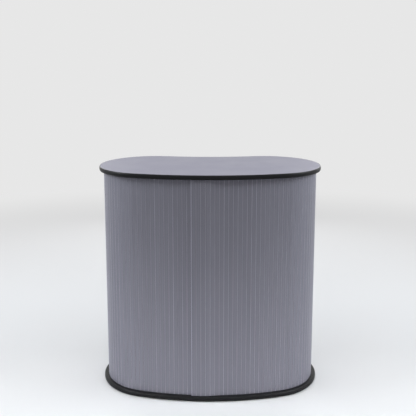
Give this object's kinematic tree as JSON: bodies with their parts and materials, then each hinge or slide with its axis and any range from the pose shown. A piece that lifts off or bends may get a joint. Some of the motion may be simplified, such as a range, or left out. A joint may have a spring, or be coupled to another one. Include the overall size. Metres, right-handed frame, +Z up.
{
  "type": "exhibition counter",
  "caption": "Free-standing bean-shaped counter: silver top, black base and edges, a slatted roll-up wall round the front and sides, and an open back with a shelf; the top lifts off.",
  "frame": {"origin": "on the floor, under the middle of the top", "axes": "+Z up; -Y towards the visitors, the bowed front; +X to the right as the visitors see it; the open back faces +Y"},
  "size_m": [0.99, 0.515, 1.005],
  "materials": {
    "silver_laminate": "board with a satin silver-grey laminate",
    "black_laminate": "board with a satin black laminate",
    "black_trim": "satin black moulded edging",
    "silver_tambour": "satin silver, metallic film over plastic slats",
    "satin_aluminium": "satin anodised",
    "zinc_casting": "plain grey casting",
    "black_hook_tape": "black hook-and-loop tape",
    "grey_pad": "matt self-adhesive floor pad"
  },
  "bodies": {
    "stand": {"base_board": "black_laminate", "base_edge_trim": "black_trim", "base_rim": "black_laminate", "base_rim_tape": "black_hook_tape", "floor_pad_1": "grey_pad", "floor_pad_2": "grey_pad", "floor_pad_3": "grey_pad", "floor_pad_4": "grey_pad", "floor_pad_5": "grey_pad", "floor_pad_6": "grey_pad", "post_foot_1": "zinc_casting", "post_foot_2": "zinc_casting", "post_foot_3": "zinc_casting", "post_foot_4": "zinc_casting", "lower_post_1": "satin_aluminium", "lower_post_2": "satin_aluminium", "lower_post_3": "satin_aluminium", "lower_post_4": "satin_aluminium", "upper_post_1": "satin_aluminium", "upper_post_2": "satin_aluminium", "upper_post_3": "satin_aluminium", "upper_post_4": "satin_aluminium", "threaded_plug_1": "zinc_casting", "threaded_plug_2": "zinc_casting", "threaded_plug_3": "zinc_casting", "threaded_plug_4": "zinc_casting", "stud_plug_1": "zinc_casting", "stud_plug_2": "zinc_casting", "stud_plug_3": "zinc_casting", "stud_plug_4": "zinc_casting", "shelf_board": "silver_laminate", "shelf_edge_band": "black_trim", "wall_roll_left": "silver_tambour", "wall_roll_right": "silver_tambour", "lap_tape": "black_hook_tape", "wall_channel_left": "satin_aluminium", "wall_channel_right": "satin_aluminium"},
    "top": {"top_board": "silver_laminate", "top_edge_trim": "black_trim", "top_rim": "black_laminate", "top_rim_tape": "black_hook_tape", "post_cup_1": "zinc_casting", "post_cup_2": "zinc_casting", "post_cup_3": "zinc_casting", "post_cup_4": "zinc_casting"}
  },
  "joints": [
    {"name": "top_lift", "type": "slide", "parent": "stand", "child": "top", "axis": [0, 0, 1], "range_m": [0, 0.08]}
  ]
}
